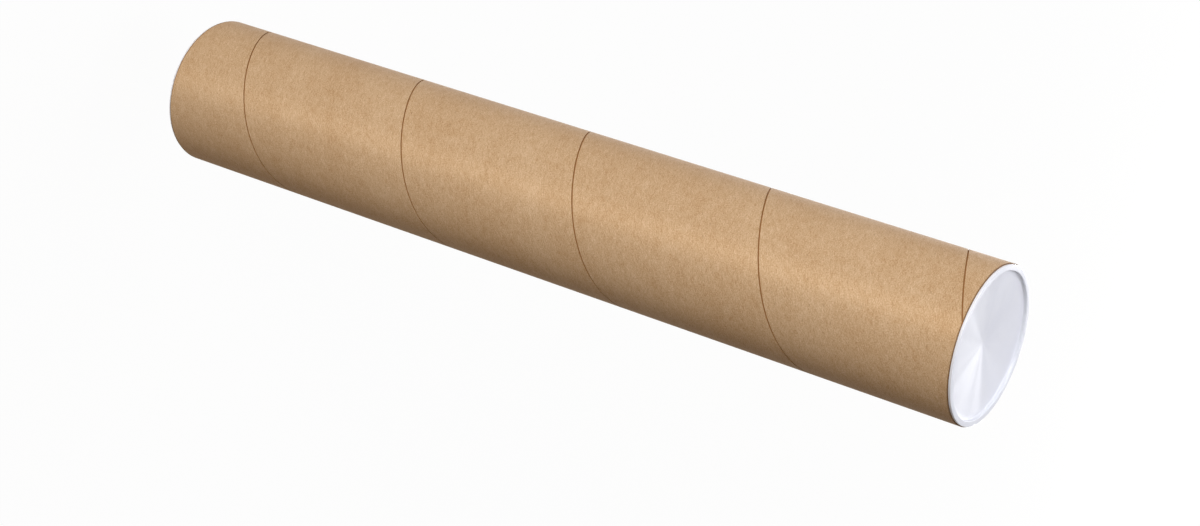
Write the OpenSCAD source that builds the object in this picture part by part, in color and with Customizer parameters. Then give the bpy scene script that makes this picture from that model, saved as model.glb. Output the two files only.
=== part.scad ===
// Spiral-wound kraft mailing tube, closed at each end by a moulded push-in cap.
// The tube stands on its lower cap: the origin is the centre of that cap's rim, and +Z runs along the bore.

/* [Tube] */
// Length of the cardboard tube between its cut ends
tube_length = 457.2; // [150:0.1:900]
// Outside diameter of the tube
tube_diameter = 76.2; // [50:0.1:130]
// Thickness of the wound cardboard wall
tube_wall = 1.8; // [1.2:0.1:4]

/* [Seam] */
// Rise of the spiral seam in one turn
seam_pitch = 103; // [70:0.1:180]
// Bearing of the seam at the lower cut end, seen from above
seam_start = 104; // [0:1:359]
// Gap between the butted edges of the outer ply
seam_gap = 0.6; // [0.3:0.1:1.5]
// Thickness of the outer ply, which sets the depth of the seam
outer_ply = 0.4; // [0.2:0.05:0.8]

/* [Cap rim] */
// Thickness of the rim that covers the cut end
rim_thickness = 1.2; // [0.8:0.1:3]
// How far the rim stays inside the tube's outside edge
rim_inset = 0.4; // [0:0.1:1]
// Radius on the edges of the rim
rim_edge_radius = 0.35; // [0.1:0.05:0.38]

/* [Cap panel] */
// Depth of the panel below the rim at its edge
panel_step = 1.6; // [1:0.1:5]
// Further fall of the dished panel to its centre
panel_dish = 2.4; // [0.5:0.1:5]
// Thickness of the panel
panel_thickness = 1.2; // [0.8:0.1:2.5]
// Fillet between the panel and the wall round it
panel_fillet = 0.8; // [0.2:0.1:0.9]

/* [Cap plug] */
// How far the plug reaches into the tube
plug_depth = 16; // [12:0.5:40]
// Thickness of the plug's skirt at its root
skirt_thickness = 1.4; // [1:0.1:2.5]
// Thickness of the skirt at its tip
skirt_tip_thickness = 0.9; // [0.6:0.1:1]
// Fall in radius from the grip to the tip of the skirt
skirt_taper = 0.6; // [0.3:0.1:1.5]
// Radial clearance between the grip and the bore
plug_clearance = 0.05; // [0.02:0.01:0.1]
// Length of the straight grip below the rim
grip_length = 5; // [3:0.5:8]
// Size of the chamfered lead-in at the tip of the skirt
lead_in = 0.4; // [0.2:0.1:0.5]

/* [Hidden] */

$fn = 96;
overshoot = 1;

// Tube
tube_r = tube_diameter / 2;
bore_r = tube_r - tube_wall;
tube_base = rim_thickness;
tube_top = tube_base + tube_length;

// Seam: a right-handed helix, cut as short straight runs that go past both cut ends
seam_step_angle = 6;
seam_slope = atan(seam_pitch / (PI * tube_diameter));
seam_half_height = seam_gap / cos(seam_slope) / 2;
seam_overrun = seam_half_height + overshoot;
seam_steps = ceil((tube_length + 2 * seam_overrun) / seam_pitch * 360 / seam_step_angle);

// Cap, drawn with its seat on the cut end at z = 0 and its rim above
rim_r = tube_r - rim_inset;
plug_r = bore_r - plug_clearance;
recess_r = plug_r - skirt_thickness;
panel_edge_z = rim_thickness - panel_step;
panel_centre_z = panel_edge_z - panel_dish;
panel_slope = atan(panel_dish / recess_r);
arc_steps = 6;
tip_r = plug_r - skirt_taper;
tip_z = -plug_depth;

kraft_colour = "#b89268";
cap_colour = "#f2f3f6";

// Cross-section of the seam at one bearing: inner edge pair, then outer edge pair
function seam_ring(i) =
    let (
        turn = i * seam_step_angle,
        z = -seam_overrun + seam_pitch * turn / 360,
        bearing = seam_start + turn - 360 * seam_overrun / seam_pitch,
        inner = tube_r - outer_ply,
        outer = tube_r + overshoot
    )
    [
        for (corner = [[inner, -1], [inner, 1], [outer, 1], [outer, -1]])
            [
                corner[0] * cos(bearing),
                corner[0] * sin(bearing),
                z + corner[1] * seam_half_height
            ]
    ];

// Open gap between the edges of the outer ply, as one swept solid
module seam_groove() {
    corners = 4;
    last = seam_steps * corners;
    points = [for (i = [0:seam_steps]) each seam_ring(i)];
    sides = [
        for (i = [0:seam_steps - 1], k = [0:corners - 1])
            let (
                a = i * corners + k,
                b = i * corners + (k + 1) % corners
            )
            each [[a, a + corners, b], [b, a + corners, b + corners]]
    ];
    ends = [[0, 1, 2], [0, 2, 3], [last + 2, last + 1, last], [last + 3, last + 2, last]];
    polyhedron(points = points, faces = concat(sides, ends), convexity = 10);
}

module tube() {
    color(kraft_colour)
        translate([0, 0, tube_base])
            difference() {
                cylinder(r = tube_r, h = tube_length);
                translate([0, 0, -overshoot])
                    cylinder(r = bore_r, h = tube_length + 2 * overshoot);
                seam_groove();
            }
}

// Points along an arc, from one bearing to another
function arc(centre, radius, from, to) = [
    for (k = [0:arc_steps])
        let (bearing = from + (to - from) * k / arc_steps)
        centre + radius * [cos(bearing), sin(bearing)]
];

// One half of the cap: dished panel, filleted recess, rounded rim, plug skirt with its lead-in
module cap_section() {
    reach = panel_fillet / tan((90 + panel_slope) / 2);
    edge_z = rim_thickness - rim_edge_radius;
    polygon(concat(
        [[0, panel_centre_z]],
        arc([recess_r - panel_fillet, panel_edge_z + reach], panel_fillet, panel_slope - 90, 0),
        arc([recess_r + rim_edge_radius, edge_z], rim_edge_radius, 180, 90),
        arc([rim_r - rim_edge_radius, edge_z], rim_edge_radius, 90, 0),
        [
            [rim_r, 0],
            [plug_r, 0],
            [plug_r, -grip_length],
            [tip_r, tip_z + lead_in],
            [tip_r - lead_in, tip_z],
            [tip_r - skirt_tip_thickness, tip_z],
            [recess_r, panel_edge_z - panel_thickness],
            [0, panel_centre_z - panel_thickness]
        ]
    ));
}

module cap() {
    color(cap_colour)
        rotate_extrude()
            cap_section();
}

module bottom_cap() {
    translate([0, 0, tube_base])
        mirror([0, 0, 1])
            cap();
}

module top_cap() {
    translate([0, 0, tube_top])
        cap();
}

tube();
bottom_cap();
top_cap();
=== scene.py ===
"""Looks of a spiral-wound cardboard mailing tube with moulded push-in caps.

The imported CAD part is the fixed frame. This script models the wound kraft tube and its
two caps over that frame, dresses them, and sets a plain pale studio seen from the
photograph's viewing angle. The tube stands on its lower cap, and +Z runs along its bore.
"""

from __future__ import annotations

import logging
import math
from collections.abc import Mapping
from dataclasses import dataclass, field
from enum import Enum
from typing import Any

import bmesh
import bpy
import numpy as np
from mathutils import Euler, Matrix, Vector

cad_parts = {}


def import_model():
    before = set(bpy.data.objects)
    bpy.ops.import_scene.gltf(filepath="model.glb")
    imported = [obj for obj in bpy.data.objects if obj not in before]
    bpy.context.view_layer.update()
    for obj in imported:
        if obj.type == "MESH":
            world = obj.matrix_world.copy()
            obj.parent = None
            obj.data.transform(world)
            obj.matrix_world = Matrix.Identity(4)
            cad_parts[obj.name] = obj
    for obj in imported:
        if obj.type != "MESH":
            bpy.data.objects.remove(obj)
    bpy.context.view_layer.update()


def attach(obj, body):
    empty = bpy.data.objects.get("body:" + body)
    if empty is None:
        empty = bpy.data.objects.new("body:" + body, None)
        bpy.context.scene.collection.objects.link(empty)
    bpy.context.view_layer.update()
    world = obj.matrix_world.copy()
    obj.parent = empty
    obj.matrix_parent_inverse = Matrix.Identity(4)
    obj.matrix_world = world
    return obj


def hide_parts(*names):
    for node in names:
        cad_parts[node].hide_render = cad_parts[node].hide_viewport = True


LOG = logging.getLogger("mailing_tube")

WHITE = "#ffffff"

# One millimetre in metres
MM = 0.001
# Points closer than this are merged, in metres
MERGE_BELOW = 1e-6
# A point this near to a ring lies on it, in metres
ON_RING = 1e-5
# Least Z of the normal of a face that lies across the tube
NEARLY_LEVEL = 0.9

# A place times this keeps only what lies across the Z axis
ACROSS_Z = (1.0, 1.0, 0.0)
# Mean of a noise texture, and the values that it mostly keeps between
NOISE_MEAN = 0.5
NOISE_LOW = 0.3
NOISE_HIGH = 0.7

Colour = tuple[float, float, float, float]
Point = tuple[float, float, float]
Tree = bpy.types.NodeTree
Socket = bpy.types.NodeSocket
SocketKey = str | int


class End(Enum):
    """The two ends of the standing tube: the value is the way the cap faces along Z."""

    BOTTOM = -1
    TOP = 1


# Helpers


def linear(hex_colour: str) -> Colour:
    """Turn an sRGB hex value into a linear colour, by the curve of the sRGB standard.

    Args:
        hex_colour: Six hex digits with a leading hash.

    Returns:
        Linear red, green and blue, and an alpha of 1.
    """
    digits = hex_colour.lstrip("#")
    channels = [int(digits[i : i + 2], 16) / 255 for i in (0, 2, 4)]
    red, green, blue = (
        c / 12.92 if c <= 0.04045 else ((c + 0.055) / 1.055) ** 2.4 for c in channels
    )
    return red, green, blue, 1.0


def add_node(
    tree: Tree,
    kind: str,
    inputs: Mapping[SocketKey, Any] | None = None,
    **settings: Any,
) -> bpy.types.Node:
    """Add one shader node with its settings, values and links.

    Args:
        tree: The node tree that takes the node.
        kind: The node's type name.
        inputs: Socket name or number to a value, or to the socket that is linked to it.
        **settings: The node's own properties.

    Returns:
        The new node.
    """
    node = tree.nodes.new(kind)
    for name, value in settings.items():
        setattr(node, name, value)
    for key, value in (inputs or {}).items():
        if isinstance(value, Socket):
            tree.links.new(value, node.inputs[key])
        else:
            node.inputs[key].default_value = value
    return node


def new_material(name: str) -> tuple[bpy.types.Material, Tree]:
    """Make an empty node material.

    Args:
        name: The material's name.

    Returns:
        The material and its cleared node tree.
    """
    material = bpy.data.materials.new(name)
    material.use_nodes = True
    material.node_tree.nodes.clear()
    return material, material.node_tree


def seen_share(tree: Tree, share: float) -> Socket:
    """Give a factor for the rays that show a background: camera, glossy and transmission.

    Args:
        tree: The tree that takes the nodes.
        share: The factor for those rays; other rays get 0.

    Returns:
        The socket that holds the factor.
    """
    path = add_node(tree, "ShaderNodeLightPath")
    seen = path.outputs["Is Camera Ray"]
    for name in ("Is Glossy Ray", "Is Transmission Ray"):
        seen = add_node(
            tree, "ShaderNodeMath", {0: seen, 1: path.outputs[name]}, operation="MAXIMUM"
        ).outputs[0]
    return add_node(
        tree, "ShaderNodeMath", {0: seen, 1: share}, operation="MULTIPLY"
    ).outputs[0]


def start_fresh() -> None:
    """Leave edit mode and deselect everything, so that an operator meets only its own piece."""
    if bpy.context.object is not None and bpy.context.object.mode != "OBJECT":
        bpy.ops.object.mode_set(mode="OBJECT")
    bpy.ops.object.select_all(action="DESELECT")


def select_ring(radius: float, height: float) -> None:
    """In edit mode, select only the edges of one ring round the Z axis.

    Args:
        radius: The ring's radius.
        height: The ring's height.
    """
    bpy.ops.mesh.select_all(action="DESELECT")
    bpy.ops.mesh.select_mode(type="EDGE")
    mesh = bmesh.from_edit_mesh(bpy.context.object.data)
    for edge in mesh.edges:
        ends = [vertex.co for vertex in edge.verts]
        edge.select_set(
            all(
                abs(math.hypot(end.x, end.y) - radius) < ON_RING and abs(end.z - height) < ON_RING
                for end in ends
            )
        )
    mesh.select_flush_mode()
    bmesh.update_edit_mesh(bpy.context.object.data)


def select_level_faces() -> None:
    """In edit mode, select only the faces that lie across the Z axis."""
    bpy.ops.mesh.select_all(action="DESELECT")
    bpy.ops.mesh.select_mode(type="FACE")
    mesh = bmesh.from_edit_mesh(bpy.context.object.data)
    mesh.normal_update()
    for face in mesh.faces:
        face.select_set(abs(face.normal.z) > NEARLY_LEVEL)
    mesh.select_flush_mode()
    bmesh.update_edit_mesh(bpy.context.object.data)


def settle(piece: bpy.types.Object, name: str, smooth_below: float) -> bpy.types.Object:
    """Apply a piece's place to its mesh, name it and smooth its shallow edges.

    Args:
        piece: The modelled object, in object mode.
        name: Its final name.
        smooth_below: Edges flatter than this angle in degrees are smoothed.

    Returns:
        The same object.
    """
    start_fresh()
    piece.select_set(True)
    bpy.context.view_layer.objects.active = piece
    bpy.ops.object.transform_apply(location=True, rotation=True, scale=True)
    bpy.ops.object.shade_smooth_by_angle(angle=math.radians(smooth_below))
    piece.name = name
    piece.data.name = name
    return piece


# Finishes


@dataclass(frozen=True)
class PaperPattern:
    """One layer of the paper's uneven look: noise drawn out into marks.

    Attributes:
        along_mm: Length of a mark.
        across_mm: Width of a mark.
        weight: How strongly the layer shows.
        turn: Angle in degrees between the marks and the paper's machine direction.
        detail: Detail of the noise.
        detail_share: How strongly the finer detail shows.
    """

    along_mm: float
    across_mm: float
    weight: float
    turn: float = 0.0
    detail: float = 2.0
    detail_share: float = 0.6

    def lay(self, tree: Tree, strip: Socket) -> Socket:
        """Lay the pattern on the strip.

        Args:
            tree: The material's tree.
            strip: The strip's UV.

        Returns:
            The socket that holds the pattern's noise.
        """
        turned = add_node(
            tree,
            "ShaderNodeMapping",
            {"Vector": strip, "Rotation": (0.0, 0.0, math.radians(self.turn))},
        )
        scale = (1 / (self.along_mm * MM), 1 / (self.across_mm * MM), 1.0)
        drawn_out = add_node(
            tree, "ShaderNodeMapping", {"Vector": turned.outputs[0], "Scale": scale}
        )
        noise = add_node(
            tree,
            "ShaderNodeTexNoise",
            {
                "Vector": drawn_out.outputs[0],
                "Scale": 1.0,
                "Detail": self.detail,
                "Roughness": self.detail_share,
            },
            noise_dimensions="2D",
        )
        return noise.outputs["Fac"]


@dataclass(frozen=True)
class EdgeStainAndShade:
    """A darkening that fades with the distance from an edge, used for real stains and for painted
    shadow.

    Attributes:
        colour: The darkening's colour.
        full_mm: Distance up to which it has its full strength.
        gone_mm: Distance at which it is gone.
        strength: Its full strength.
    """

    colour: str
    full_mm: float
    gone_mm: float
    strength: float

    def lay(self, tree: Tree, distance: Socket, base: Socket) -> Socket:
        """Lay the darkening over a colour.

        Args:
            tree: The material's tree.
            distance: The distance from the edge in metres.
            base: The colour under the darkening.

        Returns:
            The stained colour.
        """
        mask = add_node(
            tree,
            "ShaderNodeMapRange",
            {
                "Value": distance,
                "From Min": self.full_mm * MM,
                "From Max": self.gone_mm * MM,
                "To Min": self.strength,
                "To Max": 0.0,
            },
        )
        darkened = add_node(
            tree,
            "ShaderNodeMix",
            {"Factor": mask.outputs["Result"], "A": base, "B": linear(self.colour)},
            data_type="RGBA",
        )
        return darkened.outputs["Result"]


@dataclass(frozen=True)
class KraftLinerPaper:
    """Unbleached kraft paper, machine finished: the outer ply of the tube.

    It shows cloudy formation, fibres drawn out along the strip, a few dark bark specks and a
    slight calendered sheen. Glue darkens it along the butted edges. Near the cut ends it is
    darkened by painted shadow where the caps' rims meet it, and a little by the saw cut itself.
    The strip's UV map is in metres: U runs along the strip, and V across it from the middle of
    the seam.
    """

    strip_uv: str
    strip_width: float
    seam_gap: float
    cut_low: float
    cut_high: float
    pale: str = "#dec4a3"
    deep: str = "#af885c"
    speck: str = "#8a663e"
    clouds: tuple[PaperPattern, ...] = (
        PaperPattern(150.0, 45.0, 0.30),
        PaperPattern(16.0, 7.0, 0.26),
        PaperPattern(4.5, 2.6, 0.28),
    )
    # Fibres are about 0.03 mm wide; they are drawn 0.4 mm wide so that they show in the render.
    drawn_fibres: PaperPattern = PaperPattern(5.0, 0.4, 0.70, detail=3.0)
    crossing_fibres: tuple[PaperPattern, ...] = (
        PaperPattern(4.0, 0.4, 0.55, turn=31.0),
        PaperPattern(4.0, 0.4, 0.55, turn=-26.0),
    )
    grain: PaperPattern = PaperPattern(0.7, 0.6, 1.30, detail=3.0)
    specks: PaperPattern = PaperPattern(3.0, 1.0, 0.4, detail=1.0, detail_share=0.5)
    # A speck begins and is full at these values of its noise.
    speck_from: float = 0.74
    speck_full: float = 0.86
    glued_edge: EdgeStainAndShade = EdgeStainAndShade("#a07440", 0.0, 0.12, 0.8)
    # Darker near each cut end: painted shadow where a cap's rim meets the tube, over a little
    # darkening of the saw cut.
    cut_end_and_rim_shadow: EdgeStainAndShade = EdgeStainAndShade("#6b4c2e", 0.1, 0.7, 0.85)
    relief_mm: float = 0.06
    relief_strength: float = 0.35
    roughness: tuple[float, float] = (0.48, 0.60)
    ior: float = 1.47
    # The pressed fibres lie along the strip, so the sheen stretches across them, a quarter turn
    # from the strip. A small metallic share keeps it in the paper's own colour.
    sheen_level: float = 0.18
    sheen_tint: str = "#cba77d"
    sheen_metallic: float = 0.09
    sheen_stretch: float = 0.85
    sheen_turn: float = 0.25

    def material(self) -> bpy.types.Material:
        """Build the paper's material.

        Returns:
            The material, which reads the strip's UV map and Object coordinates.
        """
        material, tree = new_material("kraft_liner_paper_machine_finished")
        strip = add_node(tree, "ShaderNodeUVMap", uv_map=self.strip_uv).outputs[0]
        patterns = (*self.clouds, self.drawn_fibres, *self.crossing_fibres, self.grain)
        layers = {pattern: pattern.lay(tree, strip) for pattern in patterns}
        paper = self._mix_tones(tree, layers)
        specked = self._mix_specks(tree, strip, paper)
        glued = self.glued_edge.lay(tree, self._distance_from_seam(tree, strip), specked)
        # Painted shadow near each cut end, where a cap's rim meets the tube, with the saw cut's
        # own darkening.
        finished = self.cut_end_and_rim_shadow.lay(tree, self._distance_from_cut(tree), glued)
        roughness = add_node(
            tree,
            "ShaderNodeMapRange",
            {
                "Value": layers[self.drawn_fibres],
                "From Min": NOISE_LOW,
                "From Max": NOISE_HIGH,
                "To Min": self.roughness[0],
                "To Max": self.roughness[1],
            },
        )
        relief = add_node(
            tree,
            "ShaderNodeMath",
            {0: layers[self.drawn_fibres], 1: layers[self.grain]},
            operation="ADD",
        )
        bump = add_node(
            tree,
            "ShaderNodeBump",
            {
                "Strength": self.relief_strength,
                "Distance": self.relief_mm * MM,
                "Height": relief.outputs[0],
            },
        )
        tangent = add_node(
            tree, "ShaderNodeTangent", direction_type="UV_MAP", uv_map=self.strip_uv
        )
        shader = add_node(
            tree,
            "ShaderNodeBsdfPrincipled",
            {
                "Base Color": finished,
                "Roughness": roughness.outputs["Result"],
                "IOR": self.ior,
                "Specular IOR Level": self.sheen_level,
                "Metallic": self.sheen_metallic,
                "Specular Tint": linear(self.sheen_tint),
                "Anisotropic": self.sheen_stretch,
                "Anisotropic Rotation": self.sheen_turn,
                "Tangent": tangent.outputs[0],
                "Normal": bump.outputs[0],
            },
        )
        add_node(tree, "ShaderNodeOutputMaterial", {"Surface": shader.outputs[0]})
        return material

    def _mix_tones(self, tree: Tree, layers: Mapping[PaperPattern, Socket]) -> Socket:
        """Move the paper's tone by all its patterns, about the middle of its two colours.

        Args:
            tree: The material's tree.
            layers: Each pattern and its noise.

        Returns:
            The paper's colour.
        """
        tone: Any = NOISE_MEAN * (1 - sum(pattern.weight for pattern in layers))
        for pattern, layer in layers.items():
            tone = add_node(
                tree,
                "ShaderNodeMath",
                {0: layer, 1: pattern.weight, 2: tone},
                operation="MULTIPLY_ADD",
            ).outputs[0]
        paper = add_node(
            tree,
            "ShaderNodeMix",
            {"Factor": tone, "A": linear(self.deep), "B": linear(self.pale)},
            data_type="RGBA",
        )
        return paper.outputs["Result"]

    def _mix_specks(self, tree: Tree, strip: Socket, base: Socket) -> Socket:
        """Lay sparse bark specks over the paper, a little longer along the strip.

        Args:
            tree: The material's tree.
            strip: The strip's UV.
            base: The colour under the specks.

        Returns:
            The colour with specks.
        """
        mask = add_node(
            tree,
            "ShaderNodeMapRange",
            {
                "Value": self.specks.lay(tree, strip),
                "From Min": self.speck_from,
                "From Max": self.speck_full,
                "To Min": 0.0,
                "To Max": self.specks.weight,
            },
        )
        specked = add_node(
            tree,
            "ShaderNodeMix",
            {"Factor": mask.outputs["Result"], "A": base, "B": linear(self.speck)},
            data_type="RGBA",
        )
        return specked.outputs["Result"]

    def _distance_from_seam(self, tree: Tree, strip: Socket) -> Socket:
        """Measure how far a point lies from the nearer of the strip's two long edges.

        Args:
            tree: The material's tree.
            strip: The strip's UV.

        Returns:
            The distance in metres.
        """
        across = add_node(tree, "ShaderNodeSeparateXYZ", {"Vector": strip}).outputs["Y"]
        from_next = add_node(
            tree, "ShaderNodeMath", {0: self.strip_width, 1: across}, operation="SUBTRACT"
        )
        from_middle = add_node(
            tree, "ShaderNodeMath", {0: across, 1: from_next.outputs[0]}, operation="MINIMUM"
        )
        from_edge = add_node(
            tree,
            "ShaderNodeMath",
            {0: from_middle.outputs[0], 1: self.seam_gap / 2},
            operation="SUBTRACT",
        )
        return from_edge.outputs[0]

    def _distance_from_cut(self, tree: Tree) -> Socket:
        """Measure how far a point lies from the nearer of the two saw-cut ends.

        Args:
            tree: The material's tree.

        Returns:
            The distance in metres.
        """
        place = add_node(tree, "ShaderNodeTexCoord").outputs["Object"]
        height = add_node(tree, "ShaderNodeSeparateXYZ", {"Vector": place}).outputs["Z"]
        from_low = add_node(
            tree, "ShaderNodeMath", {0: height, 1: self.cut_low}, operation="SUBTRACT"
        )
        from_high = add_node(
            tree, "ShaderNodeMath", {0: self.cut_high, 1: height}, operation="SUBTRACT"
        )
        nearest = add_node(
            tree,
            "ShaderNodeMath",
            {0: from_low.outputs[0], 1: from_high.outputs[0]},
            operation="MINIMUM",
        )
        return nearest.outputs[0]


@dataclass(frozen=True)
class WoundChipboard:
    """Glued inner plies of recycled chipboard.

    The bore shows plain brown board, the cut ends show the plies as fine rings with dark glue
    lines, and the bottom of the seam is darkened by soaked glue and by painted shade.
    """

    bore_radius: float
    outer_radius: float
    board: str = "#b3906a"
    board_deep: str = "#97744c"
    # Glue's colour, for the glue lines and for the seam's bottom, where it is partly painted
    # shade.
    glue_and_seam_shade: str = "#916435"
    mottle_mm: float = 3.0
    mottle_detail: float = 4.0
    mottle_detail_share: float = 0.65
    # Glue lines lie a ply apart, the first half a ply from the bore. Each begins to show at this
    # share of the way to it from the middle of a ply.
    ply_mm: float = 0.92
    glue_line_from: float = 0.72
    glue_line_strength: float = 0.8
    # Under the outer ply the board is darkened by soaked glue and by painted shade for the seam's
    # groove: it begins to show and is full at these depths under it.
    soak_and_shade_from_mm: float = 0.12
    soak_and_shade_full_mm: float = 0.04
    soak_and_shade_strength: float = 0.95
    relief_mm: float = 0.1
    relief_strength: float = 0.4
    roughness: float = 0.78
    ior: float = 1.47

    def material(self) -> bpy.types.Material:
        """Build the board's material.

        Returns:
            The material, which reads Object coordinates.
        """
        material, tree = new_material("recycled_chipboard_spiral_wound")
        place = add_node(tree, "ShaderNodeTexCoord").outputs["Object"]
        mottle = add_node(
            tree,
            "ShaderNodeTexNoise",
            {
                "Vector": place,
                "Scale": 1 / (self.mottle_mm * MM),
                "Detail": self.mottle_detail,
                "Roughness": self.mottle_detail_share,
            },
        )
        board = add_node(
            tree,
            "ShaderNodeMix",
            {
                "Factor": mottle.outputs["Fac"],
                "A": linear(self.board_deep),
                "B": linear(self.board),
            },
            data_type="RGBA",
        )
        across = add_node(
            tree, "ShaderNodeVectorMath", {0: place, 1: ACROSS_Z}, operation="MULTIPLY"
        )
        radius = add_node(
            tree, "ShaderNodeVectorMath", {0: across.outputs[0]}, operation="LENGTH"
        ).outputs["Value"]
        ringed = self._mix_glue_lines(tree, radius, board.outputs["Result"])
        # The bare board at the seam's bottom is darkened by glue and by painted shade.
        soaked_and_shaded = self._mix_soaked_glue_and_seam_shade(tree, radius, ringed)
        bump = add_node(
            tree,
            "ShaderNodeBump",
            {
                "Strength": self.relief_strength,
                "Distance": self.relief_mm * MM,
                "Height": mottle.outputs["Fac"],
            },
        )
        shader = add_node(
            tree,
            "ShaderNodeBsdfPrincipled",
            {
                "Base Color": soaked_and_shaded,
                "Roughness": self.roughness,
                "IOR": self.ior,
                "Normal": bump.outputs[0],
            },
        )
        add_node(tree, "ShaderNodeOutputMaterial", {"Surface": shader.outputs[0]})
        return material

    def _mix_glue_lines(self, tree: Tree, radius: Socket, base: Socket) -> Socket:
        """Draw the glue between the plies as rings.

        Args:
            tree: The material's tree.
            radius: The distance from the tube's axis.
            base: The board's colour.

        Returns:
            The colour with glue lines.
        """
        half_ply = self.ply_mm * MM / 2
        depth = add_node(
            tree, "ShaderNodeMath", {0: radius, 1: self.bore_radius}, operation="SUBTRACT"
        )
        from_middle = add_node(
            tree, "ShaderNodeMath", {0: depth.outputs[0], 1: half_ply}, operation="PINGPONG"
        )
        mask = add_node(
            tree,
            "ShaderNodeMapRange",
            {
                "Value": from_middle.outputs[0],
                "From Min": self.glue_line_from * half_ply,
                "From Max": half_ply,
                "To Min": 0.0,
                "To Max": self.glue_line_strength,
            },
        )
        ringed = add_node(
            tree,
            "ShaderNodeMix",
            {"Factor": mask.outputs["Result"], "A": base, "B": linear(self.glue_and_seam_shade)},
            data_type="RGBA",
        )
        return ringed.outputs["Result"]

    def _mix_soaked_glue_and_seam_shade(self, tree: Tree, radius: Socket, base: Socket) -> Socket:
        """Darken the board under the outer ply, which the seam lays bare: glue and painted shade.

        Args:
            tree: The material's tree.
            radius: The distance from the tube's axis.
            base: The board's colour.

        Returns:
            The colour with soaked glue and painted shade.
        """
        mask = add_node(
            tree,
            "ShaderNodeMapRange",
            {
                "Value": radius,
                "From Min": self.outer_radius - self.soak_and_shade_from_mm * MM,
                "From Max": self.outer_radius - self.soak_and_shade_full_mm * MM,
                "To Min": 0.0,
                "To Max": self.soak_and_shade_strength,
            },
        )
        soaked_and_shaded = add_node(
            tree,
            "ShaderNodeMix",
            {"Factor": mask.outputs["Result"], "A": base, "B": linear(self.glue_and_seam_shade)},
            data_type="RGBA",
        )
        return soaked_and_shaded.outputs["Result"]


@dataclass(frozen=True)
class MouldedPolyethylene:
    """White low-density polyethylene from a polished injection mould.

    It is waxy and a little see-through, with a soft gloss. Faint flow marks run outwards from
    the gate at the middle of the panel, so the gloss breaks into a fan.
    """

    white: str = "#f1f3f9"
    shade: str = "#e9ecf5"
    haze_mm: float = 14.0
    haze_detail: float = 2.0
    ior: float = 1.51
    gloss: tuple[float, float] = (0.20, 0.27)
    # The flow marks are noise on a unit circle round the gate: its scale, its detail, its turn in
    # degrees and where in the noise it lies. Their height is a share of the way from the gate.
    flow_scale: float = 1.3
    flow_detail: float = 1.0
    flow_detail_share: float = 0.4
    flow_turn: float = -24.0
    flow_place: Point = (3.0, 7.0, 0.0)
    flow_slope: float = 0.038
    scatter: float = 0.12
    scatter_mm: float = 0.8

    def material(self) -> bpy.types.Material:
        """Build the plastic's material.

        Returns:
            The material, which reads Object coordinates.
        """
        material, tree = new_material("low_density_polyethylene_moulded")
        place = add_node(tree, "ShaderNodeTexCoord").outputs["Object"]
        across = add_node(
            tree, "ShaderNodeVectorMath", {0: place, 1: ACROSS_Z}, operation="MULTIPLY"
        ).outputs[0]
        flow = self._flow_marks(tree, across)
        haze = add_node(
            tree,
            "ShaderNodeTexNoise",
            {"Vector": place, "Scale": 1 / (self.haze_mm * MM), "Detail": self.haze_detail},
        )
        colour = add_node(
            tree,
            "ShaderNodeMix",
            {"Factor": haze.outputs["Fac"], "A": linear(self.shade), "B": linear(self.white)},
            data_type="RGBA",
        )
        roughness = add_node(
            tree,
            "ShaderNodeMapRange",
            {
                "Value": flow,
                "From Min": NOISE_LOW,
                "From Max": NOISE_HIGH,
                "To Min": self.gloss[0],
                "To Max": self.gloss[1],
            },
        )
        radius = add_node(tree, "ShaderNodeVectorMath", {0: across}, operation="LENGTH")
        fan = add_node(
            tree, "ShaderNodeMath", {0: flow, 1: radius.outputs["Value"]}, operation="MULTIPLY"
        )
        bump = add_node(
            tree,
            "ShaderNodeBump",
            {"Strength": 1.0, "Distance": self.flow_slope, "Height": fan.outputs[0]},
        )
        shader = add_node(
            tree,
            "ShaderNodeBsdfPrincipled",
            {
                "Base Color": colour.outputs["Result"],
                "Roughness": roughness.outputs["Result"],
                "IOR": self.ior,
                "Subsurface Weight": self.scatter,
                "Subsurface Radius": (1.0, 1.0, 1.0),
                "Subsurface Scale": self.scatter_mm * MM,
                "Normal": bump.outputs[0],
            },
        )
        add_node(tree, "ShaderNodeOutputMaterial", {"Surface": shader.outputs[0]})
        return material

    def _flow_marks(self, tree: Tree, across: Socket) -> Socket:
        """Lay marks that change only with the bearing from the gate.

        Args:
            tree: The material's tree.
            across: The place across the cap's axis.

        Returns:
            The socket that holds the marks' noise.
        """
        bearing = add_node(tree, "ShaderNodeVectorMath", {0: across}, operation="NORMALIZE")
        turned = add_node(
            tree,
            "ShaderNodeMapping",
            {
                "Vector": bearing.outputs[0],
                "Rotation": (0.0, 0.0, math.radians(self.flow_turn)),
                "Location": self.flow_place,
            },
        )
        noise = add_node(
            tree,
            "ShaderNodeTexNoise",
            {
                "Vector": turned.outputs[0],
                "Scale": self.flow_scale,
                "Detail": self.flow_detail,
                "Roughness": self.flow_detail_share,
            },
        )
        return noise.outputs["Fac"]


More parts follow.
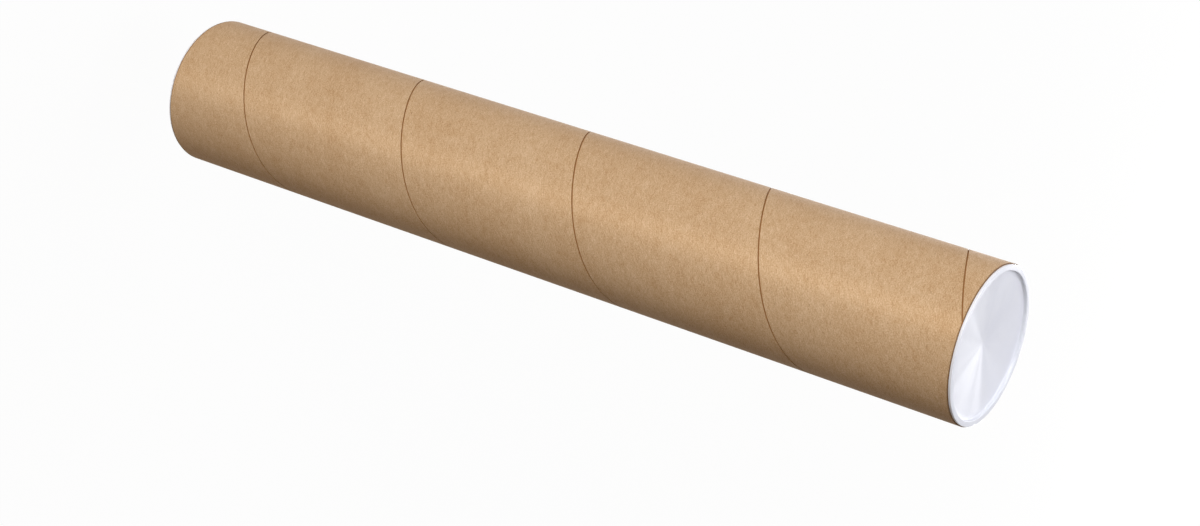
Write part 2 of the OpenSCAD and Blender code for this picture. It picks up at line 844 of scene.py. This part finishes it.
@dataclass(frozen=True)
class PaleStudioFloor:
    """Matt paper floor: near white to the rays that show it, where it keeps a soft shadow.

    The light that it throws back on the part is the weaker, warmer light of a table.
    """

    paper: str = "#f6f6f4"
    thrown: str = "#a58256"
    white_share: float = 0.96

    def material(self) -> bpy.types.Material:
        """Build the floor's material.

        Returns:
            The material, which mixes plain white in for camera, glossy and clear rays.
        """
        material, tree = new_material("pale_studio_paper")
        colour = add_node(
            tree,
            "ShaderNodeMix",
            {"Factor": seen_share(tree, 1.0), "A": linear(self.thrown), "B": linear(self.paper)},
            data_type="RGBA",
        )
        matt = add_node(tree, "ShaderNodeBsdfDiffuse", {"Color": colour.outputs["Result"]})
        white = add_node(
            tree, "ShaderNodeEmission", {"Color": linear(WHITE), "Strength": 1.0}
        )
        mixed = add_node(
            tree,
            "ShaderNodeMixShader",
            {0: seen_share(tree, self.white_share), 1: matt.outputs[0], 2: white.outputs[0]},
        )
        add_node(tree, "ShaderNodeOutputMaterial", {"Surface": mixed.outputs[0]})
        return material


# Sub-assemblies


@dataclass
class KraftTube:
    """The spiral-wound tube: a wound core and one outer ply with its butted seam.

    Sizes are in metres and follow the CAD source.
    """

    length: float = 457.2 * MM
    radius: float = 38.1 * MM
    wall: float = 1.8 * MM
    base: float = 1.2 * MM
    ply: float = 0.4 * MM
    seam_gap: float = 0.6 * MM
    seam_pitch: float = 103.0 * MM
    seam_start: float = math.radians(104.0)
    # The corners of the ply's section are broken by this.
    edge_break: float = 0.08 * MM
    # Faces in one turn, and the angle in degrees below which an edge is smoothed
    steps: int = 144
    smooth_below: float = 30.0
    strip_uv: str = "ply_strip"
    pieces: list[bpy.types.Object] = field(default_factory=list, init=False)

    @property
    def top(self) -> float:
        """Height of the upper cut end."""
        return self.base + self.length

    @property
    def bore_radius(self) -> float:
        """Radius of the bore."""
        return self.radius - self.wall

    @property
    def core_radius(self) -> float:
        """Outside radius of the plies under the outer one."""
        return self.radius - self.ply

    @property
    def seam_slope(self) -> float:
        """Angle of the seam to the tube's cross-section."""
        return math.atan2(self.seam_pitch, math.tau * self.radius)

    @property
    def strip_width(self) -> float:
        """Width of the outer ply's strip from the middle of the seam to the next turn's."""
        return self.seam_pitch * math.cos(self.seam_slope)

    def build(self) -> list[bpy.types.Object]:
        """Model the core and the outer ply, give each its finish and join them into one piece.

        Returns:
            The finished tube, alone in a list.
        """
        board = WoundChipboard(bore_radius=self.bore_radius, outer_radius=self.core_radius)
        paper = KraftLinerPaper(
            strip_uv=self.strip_uv,
            strip_width=self.strip_width,
            seam_gap=self.seam_gap,
            cut_low=self.base,
            cut_high=self.top,
        )
        core = self._build_core()
        ply = self._build_outer_ply()
        core.data.materials.append(board.material())
        ply.data.materials.append(paper.material())
        self._lay_strip_uv(ply)
        start_fresh()
        core.select_set(True)
        ply.select_set(True)
        bpy.context.view_layer.objects.active = ply
        bpy.ops.object.join()
        self.pieces = [settle(ply, "kraft_tube", self.smooth_below)]
        return self.pieces

    def dress(self) -> None:
        """Put the tube on its body in place of its CAD node."""
        for piece in self.pieces:
            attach(piece, "tube_body")
            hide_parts("tube")

    def _build_core(self) -> bpy.types.Object:
        """Model the wound core: a cylinder, inset at both ends and bridged through.

        Returns:
            The core, open from end to end.
        """
        start_fresh()
        bpy.ops.mesh.primitive_cylinder_add(
            vertices=self.steps,
            radius=self.core_radius,
            depth=self.length,
            end_fill_type="NGON",
            location=(0.0, 0.0, self.base + self.length / 2),
        )
        core = bpy.context.object
        bpy.ops.object.mode_set(mode="EDIT")
        select_level_faces()
        bpy.ops.mesh.inset(thickness=self.core_radius - self.bore_radius, depth=0.0)
        bpy.ops.mesh.bridge_edge_loops()
        bpy.ops.object.mode_set(mode="OBJECT")
        return settle(core, "wound_core", self.smooth_below)

    def _build_outer_ply(self) -> bpy.types.Object:
        """Model the outer ply: its section is wound up in a screw and cut off at both ends.

        The section starts a turn or more below the lower cut end, so that the screw runs past it.

        Returns:
            The closed strip.
        """
        gap = self.seam_gap / math.cos(self.seam_slope)
        low = self.base - self.seam_pitch * (1 + self.seam_start / math.tau) + gap / 2
        strip = self._draw_section(low, self.seam_pitch - gap)
        winding = strip.modifiers.new("winding", "SCREW")
        winding.axis = "Z"
        winding.angle = math.tau
        winding.screw_offset = self.seam_pitch
        winding.iterations = math.ceil((self.top - low) / self.seam_pitch) + 1
        winding.steps = self.steps
        winding.render_steps = self.steps
        bpy.ops.object.modifier_apply(modifier=winding.name)
        self._cut_ends()
        return settle(strip, "outer_ply", self.smooth_below)

    def _draw_section(self, low: float, height: float) -> bpy.types.Object:
        """Draw the outline of the ply's section in the XZ plane, with its corners broken.

        Args:
            low: Height of its lower edge.
            height: Its height along the tube.

        Returns:
            The outline, which is the active object.
        """
        start_fresh()
        bpy.ops.mesh.primitive_plane_add(
            size=1.0,
            location=(self.radius - self.ply / 2, 0.0, low + height / 2),
            rotation=(math.pi / 2, 0.0, 0.0),
        )
        section = bpy.context.object
        section.scale = (self.ply, height, 1.0)
        bpy.ops.object.transform_apply(location=True, rotation=True, scale=True)
        bpy.ops.object.mode_set(mode="EDIT")
        bpy.ops.mesh.select_all(action="SELECT")
        bpy.ops.mesh.bevel(offset=self.edge_break, segments=1, affect="VERTICES")
        bpy.ops.mesh.delete(type="ONLY_FACE")
        bpy.ops.object.mode_set(mode="OBJECT")
        return section

    def _cut_ends(self) -> None:
        """Cut the wound strip, the active object, off level at both ends and close it there."""
        bpy.ops.object.mode_set(mode="EDIT")
        for height, outwards in ((self.base, -1.0), (self.top, 1.0)):
            bpy.ops.mesh.select_all(action="SELECT")
            bpy.ops.mesh.bisect(
                plane_co=(0.0, 0.0, height),
                plane_no=(0.0, 0.0, outwards),
                use_fill=True,
                clear_outer=True,
                threshold=MERGE_BELOW,
            )
        bpy.ops.mesh.select_all(action="SELECT")
        bpy.ops.mesh.remove_doubles(threshold=MERGE_BELOW)
        bpy.ops.mesh.normals_make_consistent(inside=False)
        bpy.ops.object.mode_set(mode="OBJECT")

    def _lay_strip_uv(self, ply: bpy.types.Object) -> None:
        """Unroll the ply into its flat strip, so that the paper's grain follows the winding.

        Args:
            ply: The wound strip, with its place in its mesh.
        """
        mesh = ply.data
        places = np.empty(len(mesh.vertices) * 3, np.float32)
        mesh.vertices.foreach_get("co", places)
        x, y, z = places.reshape(-1, 3).astype(float).T
        bearing = np.arctan2(y, x) % math.tau
        seam_z = self.base + self.seam_pitch * (bearing - self.seam_start) / math.tau
        turn = np.floor((z - seam_z) / self.seam_pitch)
        around = self.radius * (bearing + math.tau * turn)
        slope = self.seam_slope
        along = around * math.cos(slope) + z * math.sin(slope)
        offset = (self.base - math.tan(slope) * self.radius * self.seam_start) * math.cos(slope)
        across = z * math.cos(slope) - around * math.sin(slope) - offset
        corners = np.empty(len(mesh.loops), np.int32)
        mesh.loops.foreach_get("vertex_index", corners)
        flat = np.column_stack((along, across))[corners].astype(np.float32)
        layer = mesh.uv_layers.new(name=self.strip_uv)
        layer.uv.foreach_set("vector", flat.ravel())


@dataclass(frozen=True)
class CapSeat:
    """Where one cap goes.

    Attributes:
        end: The end of the tube that it closes.
        height: Height of that cut end.
        body: The body it rides on.
        node: The CAD node it stands for.
    """

    end: End
    height: float
    body: str
    node: str


@dataclass
class PlugCaps:
    """The two push-in caps: one moulding with a rim, a dished panel and a tapered plug skirt.

    Sizes are in metres and follow the CAD source. Heights count from the cut end of the tube,
    outwards.
    """

    seats: tuple[CapSeat, ...]
    rim_radius: float = 37.7 * MM
    rim_thickness: float = 1.2 * MM
    recess_radius: float = 34.85 * MM
    panel_step: float = 1.6 * MM
    panel_dish: float = 2.4 * MM
    panel_thickness: float = 1.2 * MM
    gate_radius: float = 1.6 * MM
    plug_radius: float = 36.25 * MM
    plug_depth: float = 16.0 * MM
    grip_length: float = 5.0 * MM
    skirt_taper: float = 0.6 * MM
    tip_thickness: float = 0.9 * MM
    lead_in: float = 0.4 * MM
    # Rounding of the rim's upper edges, of its edge at the seat and of the panel's corner
    rim_edge: float = 0.35 * MM
    seat_edge: float = 0.15 * MM
    panel_fillet: float = 0.8 * MM
    # Supporting rings lie this far from the bends of the rim and of the panel.
    rim_support: float = 0.9 * MM
    panel_support: float = 2.2 * MM
    # Faces round the cap and in a rounding, and the angle in degrees below which an edge is
    # smoothed
    steps: int = 160
    bend_segments: int = 6
    smooth_below: float = 35.0
    pieces: list[bpy.types.Object] = field(default_factory=list, init=False)

    @property
    def panel_edge(self) -> float:
        """Height of the panel where it meets its recess."""
        return self.rim_thickness - self.panel_step

    def panel_height(self, radius: float) -> float:
        """Height of the dished panel at a radius."""
        return self.panel_edge - self.panel_dish * (1 - radius / self.recess_radius)

    def rings(self) -> tuple[tuple[float, float], ...]:
        """List the rings of the section, from the panel's middle round to its underside.

        Returns:
            Radius and height of each ring, with supporting rings that hold the shading of the
            panel and the rim.
        """
        gate = self.gate_radius
        near_gate = gate + self.panel_support
        near_edge = self.recess_radius - self.panel_support
        tip = -self.plug_depth
        tip_radius = self.plug_radius - self.skirt_taper
        under = self.panel_thickness
        return (
            (gate, self.panel_height(gate)),
            (near_gate, self.panel_height(near_gate)),
            (near_edge, self.panel_height(near_edge)),
            (self.recess_radius, self.panel_edge),
            (self.recess_radius, self.rim_thickness),
            (self.recess_radius + self.rim_support, self.rim_thickness),
            (self.rim_radius - self.rim_support, self.rim_thickness),
            (self.rim_radius, self.rim_thickness),
            (self.rim_radius, 0.0),
            (self.plug_radius, 0.0),
            (self.plug_radius, -self.grip_length),
            (tip_radius, tip + self.lead_in),
            (tip_radius - self.lead_in, tip),
            (tip_radius - self.tip_thickness, tip),
            (self.recess_radius, self.panel_edge - under),
            (near_edge, self.panel_height(near_edge) - under),
            (gate, self.panel_height(gate) - under),
        )

    def build(self) -> list[bpy.types.Object]:
        """Model the moulding once, give it its finish and copy it to each end.

        Returns:
            The finished caps, in the order of their seats.
        """
        moulding = self._model()
        moulding.data.materials.append(MouldedPolyethylene().material())
        self.pieces = [self._copy_to(moulding, seat) for seat in self.seats]
        start_fresh()
        moulding.select_set(True)
        bpy.ops.object.delete()
        return self.pieces

    def dress(self) -> None:
        """Put each cap on its body in place of its CAD node."""
        for piece, seat in zip(self.pieces, self.seats):
            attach(piece, seat.body)
            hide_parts(seat.node)

    def _copy_to(self, moulding: bpy.types.Object, seat: CapSeat) -> bpy.types.Object:
        """Copy the moulding, with a mesh of its own, to one end of the tube.

        Args:
            moulding: The modelled cap, seated at height 0 and facing up.
            seat: Where the copy goes.

        Returns:
            The finished cap.
        """
        start_fresh()
        moulding.select_set(True)
        bpy.context.view_layer.objects.active = moulding
        bpy.ops.object.duplicate(linked=False)
        cap = bpy.context.object
        bpy.ops.object.mode_set(mode="EDIT")
        bpy.ops.mesh.select_all(action="SELECT")
        if seat.end is End.BOTTOM:
            bpy.ops.transform.resize(value=(1.0, 1.0, -1.0), center_override=(0.0, 0.0, 0.0))
        bpy.ops.transform.translate(value=(0.0, 0.0, seat.height))
        bpy.ops.mesh.remove_doubles(threshold=MERGE_BELOW)
        bpy.ops.mesh.normals_make_consistent(inside=False)
        bpy.ops.object.mode_set(mode="OBJECT")
        return settle(cap, f"{seat.node}_moulding", self.smooth_below)

    def _model(self) -> bpy.types.Object:
        """Model the cap: a disc is drawn out ring by ring, closed, and its bends are rounded.

        Returns:
            The cap, seated at height 0 and facing up.
        """
        rings = self.rings()
        radius, height = rings[0]
        start_fresh()
        bpy.ops.mesh.primitive_circle_add(
            vertices=self.steps, radius=radius, fill_type="NGON", location=(0.0, 0.0, height)
        )
        cap = bpy.context.object
        bpy.ops.object.transform_apply(location=True, rotation=True, scale=True)
        bpy.ops.object.mode_set(mode="EDIT")
        bpy.ops.mesh.select_mode(type="EDGE")
        bpy.ops.mesh.select_all(action="SELECT")
        bpy.ops.mesh.region_to_loop()
        for next_radius, next_height in rings[1:]:
            bpy.ops.mesh.extrude_edges_move(
                TRANSFORM_OT_translate={"value": (0.0, 0.0, next_height - height)}
            )
            growth = next_radius / radius
            bpy.ops.transform.resize(value=(growth, growth, 1.0))
            radius, height = next_radius, next_height
        bpy.ops.mesh.edge_face_add()
        self._round_bends()
        bpy.ops.object.mode_set(mode="OBJECT")
        return settle(cap, "cap_moulding", self.smooth_below)

    def _round_bends(self) -> None:
        """Round the bends of the section, each to its own radius."""
        bends = (
            (self.recess_radius, self.panel_edge, self.panel_fillet),
            (self.recess_radius, self.rim_thickness, self.rim_edge),
            (self.rim_radius, self.rim_thickness, self.rim_edge),
            (self.rim_radius, 0.0, self.seat_edge),
        )
        for radius, height, rounding in bends:
            select_ring(radius, height)
            bpy.ops.mesh.bevel(
                offset=rounding, segments=self.bend_segments, affect="EDGES", clamp_overlap=False
            )


# Stage


@dataclass(frozen=True)
class SoftLight:
    """One soft studio light: an area lamp that looks at a point.

    Attributes:
        name: The lamp's name.
        place: Where its middle is, in metres.
        aim: The point it looks at.
        size: Width and height of its face.
        watts: Its power.
        tint: Its colour.
    """

    name: str
    place: Point
    aim: Point
    size: tuple[float, float]
    watts: float
    tint: str = WHITE

    def build(self) -> bpy.types.Object:
        """Add the lamp, which the camera itself doesn't see.

        Returns:
            The lamp's object.
        """
        lamp = bpy.data.lights.new(self.name, "AREA")
        lamp.shape = "RECTANGLE"
        lamp.size, lamp.size_y = self.size
        lamp.energy = self.watts
        lamp.color = linear(self.tint)[:3]
        light = bpy.data.objects.new(self.name, lamp)
        bpy.context.scene.collection.objects.link(light)
        light.location = self.place
        look = Vector(self.aim) - Vector(self.place)
        light.rotation_euler = look.to_track_quat("-Z", "Y").to_euler()
        light.visible_camera = False
        return light


@dataclass(frozen=True)
class Studio:
    """Pale floor, soft lights and a white surround.

    The key light comes from the photograph's side. The cap light shows as a soft reflection on
    the upper cap's panel, and the low back light reaches the tube's far side.
    """

    floor_size: float = 40.0
    floor_drop: float = 55.0 * MM
    ambient: float = 0.06
    ambient_tint: str = "#ffd6a4"
    lights: tuple[SoftLight, ...] = (
        SoftLight(
            "key_softbox",
            place=(-0.81, -2.12, 0.63),
            aim=(0.0, 0.0, 0.23),
            size=(1.0, 1.0),
            watts=45.5,
        ),
        SoftLight(
            "top_softbox",
            place=(-0.25, 0.10, 1.25),
            aim=(0.0, 0.0, 0.46),
            size=(0.6, 0.6),
            watts=5.5,
            tint="#f4f6ff",
        ),
        SoftLight(
            "cap_softbox",
            place=(-0.395, 1.69, 0.885),
            aim=(0.0, 0.0, 0.456),
            size=(0.75, 0.67),
            watts=3.6,
        ),
        SoftLight(
            "back_softbox",
            place=(-0.20, 2.30, 0.23),
            aim=(0.0, 0.0, 0.23),
            size=(1.8, 0.36),
            watts=24.0,
        ),
    )

    def build(self) -> None:
        """Add the floor, the surround and the lights."""
        self._build_floor()
        self._build_surround()
        for light in self.lights:
            light.build()

    def _build_floor(self) -> None:
        """Lay the floor, low enough for the lower cap to be pulled out above it."""
        start_fresh()
        bpy.ops.mesh.primitive_plane_add(
            size=self.floor_size, location=(0.0, 0.0, -self.floor_drop)
        )
        floor = bpy.context.object
        floor.name = "studio_floor"
        floor.data.materials.append(PaleStudioFloor().material())

    def _build_surround(self) -> None:
        """Set a world that shows white and lights the part only faintly."""
        world = bpy.data.worlds.new("white_surround")
        bpy.context.scene.world = world
        world.use_nodes = True
        tree = world.node_tree
        tree.nodes.clear()
        soft = add_node(
            tree,
            "ShaderNodeBackground",
            {"Color": linear(self.ambient_tint), "Strength": self.ambient},
        )
        white = add_node(
            tree, "ShaderNodeBackground", {"Color": linear(WHITE), "Strength": 1.0}
        )
        mixed = add_node(
            tree,
            "ShaderNodeMixShader",
            {0: seen_share(tree, 1.0), 1: soft.outputs[0], 2: white.outputs[0]},
        )
        add_node(tree, "ShaderNodeOutputWorld", {"Surface": mixed.outputs[0]})


@dataclass(frozen=True)
class PhotoCamera:
    """Camera at the photograph's viewing angle, turned so that the standing tube lies as there.

    Attributes:
        place: Where it stands, in metres.
        turn: Its rotation about X, Y and Z, in degrees.
        focal_px: Focal length in pixels of the photograph.
        frame_width_px: Width of the photograph.
        sensor_mm: Width of the sensor.
        clip: Nearest and farthest distance that it sees, in metres.
    """

    place: Point = (0.0, -1.046894, 0.858864)
    turn: Point = (-29.3997, -55.0951, 123.3303)
    focal_px: float = 2499.45
    frame_width_px: float = 1200.0
    sensor_mm: float = 36.0
    clip: tuple[float, float] = (0.01, 100.0)

    def build(self) -> bpy.types.Object:
        """Add the camera and make it the scene's own.

        Returns:
            The camera's object.
        """
        data = bpy.data.cameras.new("photo_camera")
        data.sensor_fit = "HORIZONTAL"
        data.sensor_width = self.sensor_mm
        data.lens = self.focal_px * self.sensor_mm / self.frame_width_px
        data.clip_start, data.clip_end = self.clip
        camera = bpy.data.objects.new("photo_camera", data)
        bpy.context.scene.collection.objects.link(camera)
        turned = Euler([math.radians(angle) for angle in self.turn])
        camera.matrix_world = Matrix.LocRotScale(Vector(self.place), turned, None)
        bpy.context.scene.camera = camera
        return camera


def main() -> None:
    """Load the frame, build the tube, its caps and the studio."""
    logging.basicConfig(level=logging.INFO, format="%(name)s: %(message)s")
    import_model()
    tube = KraftTube()
    caps = PlugCaps(
        (
            CapSeat(End.BOTTOM, tube.base, "bottom_cap_body", "bottom_cap"),
            CapSeat(End.TOP, tube.top, "top_cap_body", "top_cap"),
        )
    )
    assemblies: tuple[KraftTube | PlugCaps, ...] = (tube, caps)
    for assembly in assemblies:
        for piece in assembly.build():
            LOG.info("built %s with %d faces", piece.name, len(piece.data.polygons))
        assembly.dress()
    Studio().build()
    PhotoCamera().build()
    bpy.context.scene.view_settings.view_transform = "Standard"


if __name__ == "__main__":
    main()
